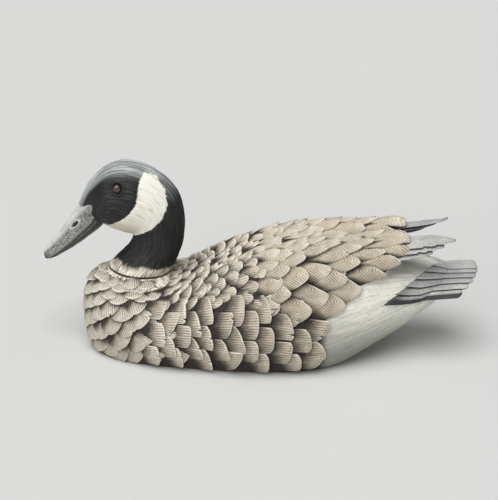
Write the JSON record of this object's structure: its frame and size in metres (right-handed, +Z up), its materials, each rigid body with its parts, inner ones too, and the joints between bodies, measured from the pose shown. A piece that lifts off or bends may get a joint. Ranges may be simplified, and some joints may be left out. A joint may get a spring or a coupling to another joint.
{
  "type": "floating goose decoy",
  "caption": "Carved and painted hollow floating goose decoy, with a head that swivels on its neck seat and a folding line ring under the breast.",
  "frame": {"origin": "middle of the overall outline in X and Y, at the flat base it stands on", "axes": "the bird faces -X, its left side is -Y, +Z is up"},
  "size_m": [0.2, 0.081, 0.0889],
  "materials": {
    "feather_paint": "matte painted carving",
    "tail_paint": "matte painted carving",
    "black_paint": "satin painted carving",
    "bill_paint": "satin painted carving",
    "eye_glass": "polished",
    "bare_wood": "unfinished",
    "cast_weight": "as cast",
    "steel": "zinc plated",
    "brass_fittings": "dull brass",
    "leather": "waxed"
  },
  "bodies": {
    "body": {"upper_body": "feather_paint", "lower_body": "feather_paint", "body_dowels": "bare_wood", "tail_fan": "tail_paint", "primary_left_1": "tail_paint", "primary_left_2": "tail_paint", "primary_left_3": "tail_paint", "primary_right_1": "tail_paint", "primary_right_2": "tail_paint", "primary_right_3": "tail_paint", "ballast_weight": "cast_weight", "ballast_screws": "steel", "seat_washer": "leather", "neck_bushing": "brass_fittings", "ring_saddle": "brass_fittings", "saddle_screws": "brass_fittings"},
    "head": {"neck": "black_paint", "head": "black_paint", "bill": "bill_paint", "eye_left": "eye_glass", "eye_right": "eye_glass", "head_dowel": "bare_wood", "bill_dowel": "bare_wood", "neck_insert": "brass_fittings", "neck_bolt": "steel", "neck_washer": "steel", "spring_washer": "steel"},
    "line_ring": {"line_ring": "brass_fittings"}
  },
  "joints": [
    {"name": "head_swivel", "type": "hinge", "parent": "body", "child": "head", "pos_m": [-0.0555, 0, 0.036], "axis": [0.1045, 0, 0.9945], "range_deg": [-90, 90]},
    {"name": "line_ring_swing", "type": "hinge", "parent": "body", "child": "line_ring", "pos_m": [-0.044, 0, 0.00325], "axis": [0, -1, 0], "range_deg": [0, 140]}
  ]
}
